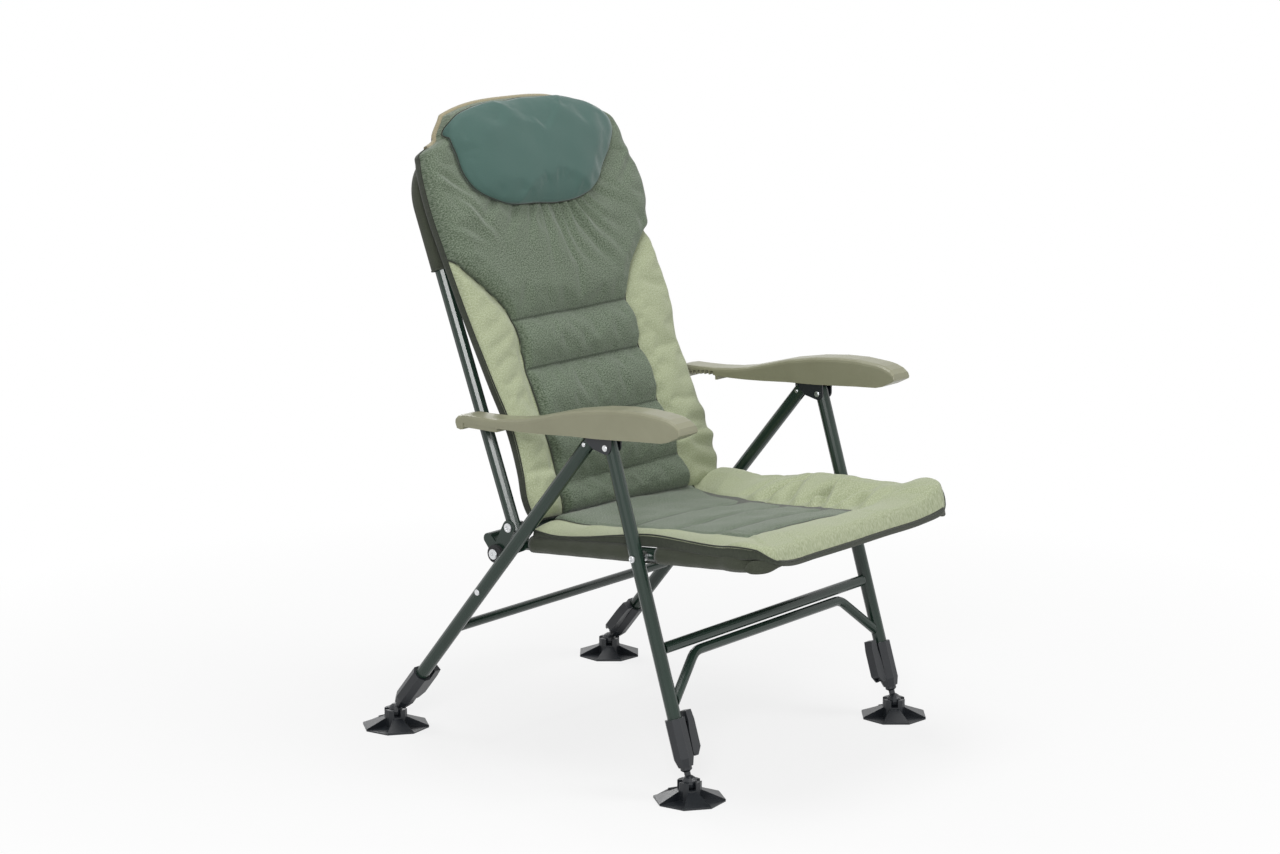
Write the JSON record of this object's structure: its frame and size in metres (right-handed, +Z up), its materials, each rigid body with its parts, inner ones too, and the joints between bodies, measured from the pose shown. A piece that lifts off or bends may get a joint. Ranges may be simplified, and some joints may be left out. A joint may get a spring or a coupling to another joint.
{
  "type": "folding fishing chair",
  "caption": "folding padded fishing chair with telescopic legs, swivelling mud feet, hollow armrests and a stepped recline",
  "frame": {"origin": "on the floor, at the middle of the chair's outline seen from above", "axes": "+Z up; the sitter faces -Y; +X is the sitter's left"},
  "size_m": [0.6648, 0.7816, 1.0157],
  "materials": {
    "green_tube": "dark green glossy powder coat on steel tube",
    "black_plastic": "moulded charcoal black plastic, faint satin",
    "arm_plastic": "olive-taupe moulded plastic, satin",
    "zinc": "bright zinc plated screws, rivets and pins",
    "rubber": "black stop ring",
    "sling_fabric": "dark olive woven polyester, tight over the tubes",
    "mattress_fabric": "grey-green heathered weave with lighter olive side panels",
    "pillow_fabric": "dark teal-green smooth knit"
  },
  "bodies": {
    "front_frame": {"front_leg_left": "green_tube", "front_leg_right": "green_tube", "front_upper_brace": "green_tube", "front_lower_brace": "green_tube", "seat_bolt_left": "zinc", "seat_bolt_right": "zinc", "front_leg_sleeve_left": "black_plastic", "front_leg_sleeve_right": "black_plastic"},
    "seat": {"seat_frame": "green_tube", "hinge_plate_left": "green_tube", "hinge_plate_right": "green_tube", "rear_crossbar": "green_tube", "stop_ring_left": "rubber", "stop_ring_right": "rubber", "stop_bolt_left": "zinc", "stop_bolt_right": "zinc", "seat_sling": "sling_fabric", "seat_cushion": "mattress_fabric"},
    "hinge_screws": {"hinge_screw_left": "zinc", "hinge_screw_right": "zinc"},
    "back": {"back_frame": "green_tube", "back_pocket": "sling_fabric", "back_cushion": "mattress_fabric", "head_pillow": "pillow_fabric", "notch_pin_left": "zinc", "notch_pin_right": "zinc"},
    "arm_pivots": {"arm_rivet_left": "zinc", "arm_rivet_right": "zinc"},
    "rear_legs": {"rear_leg_left": "green_tube", "rear_leg_right": "green_tube", "rear_brace": "green_tube", "rear_leg_rivet_left": "zinc", "rear_leg_rivet_right": "zinc", "stop_rivet_left": "zinc", "stop_rivet_right": "zinc", "rear_leg_sleeve_left": "black_plastic", "rear_leg_sleeve_right": "black_plastic"},
    "armrest_left": {"armrest_left": "arm_plastic", "armrest_bracket_left": "black_plastic"},
    "armrest_right": {"armrest_right": "arm_plastic", "armrest_bracket_right": "black_plastic"},
    "front_leg_end_left": {"front_inner_leg_left": "black_plastic"},
    "front_lever_left": {"front_cam_lever_left": "black_plastic"},
    "front_ball_left": {"front_foot_ball_left": "black_plastic"},
    "front_foot_left": {"front_mud_foot_left": "black_plastic"},
    "front_leg_end_right": {"front_inner_leg_right": "black_plastic"},
    "front_lever_right": {"front_cam_lever_right": "black_plastic"},
    "front_ball_right": {"front_foot_ball_right": "black_plastic"},
    "front_foot_right": {"front_mud_foot_right": "black_plastic"},
    "rear_leg_end_left": {"rear_inner_leg_left": "black_plastic"},
    "rear_lever_left": {"rear_cam_lever_left": "black_plastic"},
    "rear_ball_left": {"rear_foot_ball_left": "black_plastic"},
    "rear_foot_left": {"rear_mud_foot_left": "black_plastic"},
    "rear_leg_end_right": {"rear_inner_leg_right": "black_plastic"},
    "rear_lever_right": {"rear_cam_lever_right": "black_plastic"},
    "rear_ball_right": {"rear_foot_ball_right": "black_plastic"},
    "rear_foot_right": {"rear_mud_foot_right": "black_plastic"}
  },
  "joints": [
    {"name": "fold", "type": "hinge", "parent": "front_frame", "child": "seat", "pos_m": [0, -0.17058, 0.363], "axis": [1, 0, 0], "range_deg": [-72, 0], "deforming": ["seat_cushion", "back_cushion", "head_pillow"]},
    {"name": "arm_turn", "type": "hinge", "parent": "front_frame", "child": "arm_pivots", "pos_m": [0, -0.11999, 0.529], "axis": [1, 0, 0], "range_deg": [-72, 0]},
    {"name": "pin_turn", "type": "hinge", "parent": "arm_pivots", "child": "hinge_screws", "pos_m": [0, 0.15211, 0.533], "axis": [1, 0, 0], "range_deg": [0, 72]},
    {"name": "recline", "type": "hinge", "parent": "hinge_screws", "child": "back", "pos_m": [0, 0.10151, 0.367], "axis": [1, 0, 0], "range_deg": [0, 18]},
    {"name": "rear_leg_turn", "type": "hinge", "parent": "arm_pivots", "child": "rear_legs", "pos_m": [0, -0.07599, 0.5285], "axis": [1, 0, 0], "range_deg": [0, 25.92]},
    {"name": "arm_lift_left", "type": "hinge", "parent": "arm_pivots", "child": "armrest_left", "pos_m": [0.2786, -0.11999, 0.529], "axis": [1, 0, 0], "range_deg": [0, 6]},
    {"name": "arm_lift_right", "type": "hinge", "parent": "arm_pivots", "child": "armrest_right", "pos_m": [-0.2786, -0.11999, 0.529], "axis": [1, 0, 0], "range_deg": [0, 6]},
    {"name": "front_leg_slide_left", "type": "slide", "parent": "front_frame", "child": "front_leg_end_left", "axis": [0, -0.2915, -0.9566], "range_m": [0, 0.1]},
    {"name": "front_lever_turn_left", "type": "hinge", "parent": "front_frame", "child": "front_lever_left", "pos_m": [0.2571, -0.26104, 0.06622], "axis": [0, -0.9566, 0.2915], "range_deg": [0, 90]},
    {"name": "front_foot_tilt_x_left", "type": "hinge", "parent": "front_leg_end_left", "child": "front_ball_left", "pos_m": [0.2786, -0.27299, 0.027], "axis": [1, 0, 0], "range_deg": [-10, 10]},
    {"name": "front_foot_tilt_y_left", "type": "hinge", "parent": "front_ball_left", "child": "front_foot_left", "pos_m": [0.2786, -0.27299, 0.027], "axis": [0, 1, 0], "range_deg": [-10, 10]},
    {"name": "front_leg_slide_right", "type": "slide", "parent": "front_frame", "child": "front_leg_end_right", "axis": [0, -0.2915, -0.9566], "range_m": [0, 0.1]},
    {"name": "front_lever_turn_right", "type": "hinge", "parent": "front_frame", "child": "front_lever_right", "pos_m": [-0.2571, -0.26104, 0.06622], "axis": [0, 0.9566, -0.2915], "range_deg": [0, 90]},
    {"name": "front_foot_tilt_x_right", "type": "hinge", "parent": "front_leg_end_right", "child": "front_ball_right", "pos_m": [-0.2786, -0.27299, 0.027], "axis": [1, 0, 0], "range_deg": [-10, 10]},
    {"name": "front_foot_tilt_y_right", "type": "hinge", "parent": "front_ball_right", "child": "front_foot_right", "pos_m": [-0.2786, -0.27299, 0.027], "axis": [0, 1, 0], "range_deg": [-10, 10]},
    {"name": "rear_leg_slide_left", "type": "slide", "parent": "rear_legs", "child": "rear_leg_end_left", "axis": [0, 0.6357, -0.7719], "range_m": [0, 0.1]},
    {"name": "rear_lever_turn_left", "type": "hinge", "parent": "rear_legs", "child": "rear_lever_left", "pos_m": [0.2571, 0.31413, 0.05479], "axis": [0, -0.7719, -0.6357], "range_deg": [0, 90]},
    {"name": "rear_foot_tilt_x_left", "type": "hinge", "parent": "rear_leg_end_left", "child": "rear_ball_left", "pos_m": [0.2786, 0.33701, 0.027], "axis": [1, 0, 0], "range_deg": [-10, 10]},
    {"name": "rear_foot_tilt_y_left", "type": "hinge", "parent": "rear_ball_left", "child": "rear_foot_left", "pos_m": [0.2786, 0.33701, 0.027], "axis": [0, 1, 0], "range_deg": [-10, 10]},
    {"name": "rear_leg_slide_right", "type": "slide", "parent": "rear_legs", "child": "rear_leg_end_right", "axis": [0, 0.6357, -0.7719], "range_m": [0, 0.1]},
    {"name": "rear_lever_turn_right", "type": "hinge", "parent": "rear_legs", "child": "rear_lever_right", "pos_m": [-0.2571, 0.31413, 0.05479], "axis": [0, 0.7719, 0.6357], "range_deg": [0, 90]},
    {"name": "rear_foot_tilt_x_right", "type": "hinge", "parent": "rear_leg_end_right", "child": "rear_ball_right", "pos_m": [-0.2786, 0.33701, 0.027], "axis": [1, 0, 0], "range_deg": [-10, 10]},
    {"name": "rear_foot_tilt_y_right", "type": "hinge", "parent": "rear_ball_right", "child": "rear_foot_right", "pos_m": [-0.2786, 0.33701, 0.027], "axis": [0, 1, 0], "range_deg": [-10, 10]}
  ],
  "couplings": [
    {"joint": "arm_turn", "follows": "fold", "ratio": 1},
    {"joint": "pin_turn", "follows": "fold", "ratio": -1},
    {"joint": "rear_leg_turn", "follows": "fold", "ratio": -0.36}
  ]
}
